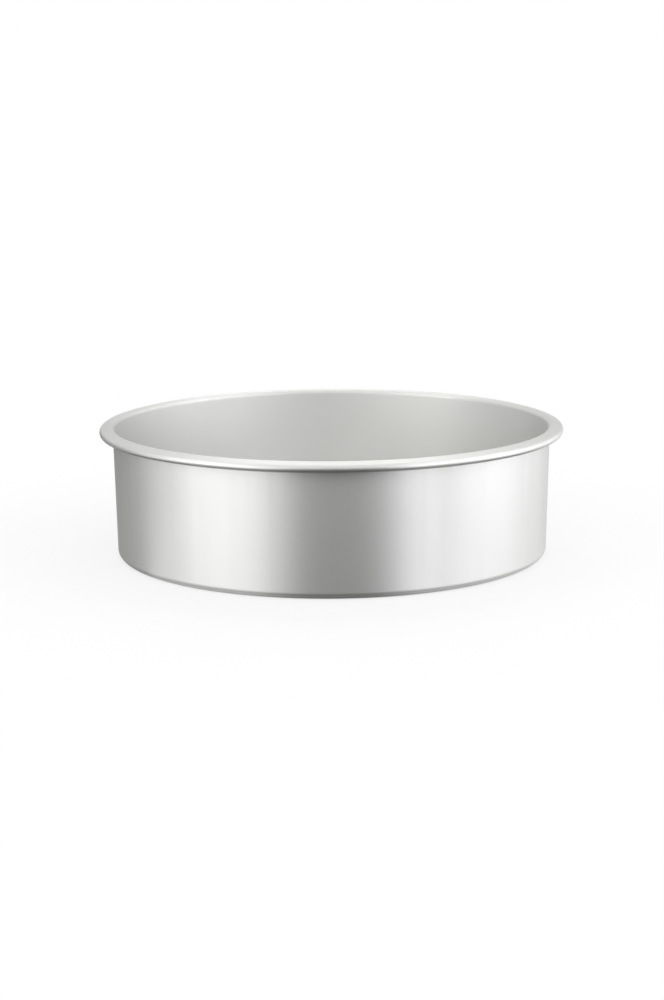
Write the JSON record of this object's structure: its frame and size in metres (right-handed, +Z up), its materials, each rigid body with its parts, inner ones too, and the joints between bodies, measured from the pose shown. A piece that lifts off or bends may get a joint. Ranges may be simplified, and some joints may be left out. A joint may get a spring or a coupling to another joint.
{
  "type": "round cake tin",
  "caption": "Round cake tin of drawn sheet, with a slight taper, a rolled rim and an inward ledge that carries a loose disc base, which lifts out upwards.",
  "frame": {"origin": "centre of the underside, on the surface that the tin stands on", "axes": "+Z up, along the tin's own axis and the way the loose base lifts out"},
  "size_m": [0.2714, 0.2714, 0.0766],
  "materials": {
    "tin_sheet": "satin silver anodised, drawn sheet",
    "base_sheet": "satin silver anodised, pressed disc"
  },
  "bodies": {
    "tin": {"tin_body": "tin_sheet"},
    "base": {"loose_base": "base_sheet"}
  },
  "joints": [
    {"name": "base_lift", "type": "slide", "parent": "tin", "child": "base", "axis": [0, 0, 1], "range_m": [0, 0.1]}
  ]
}
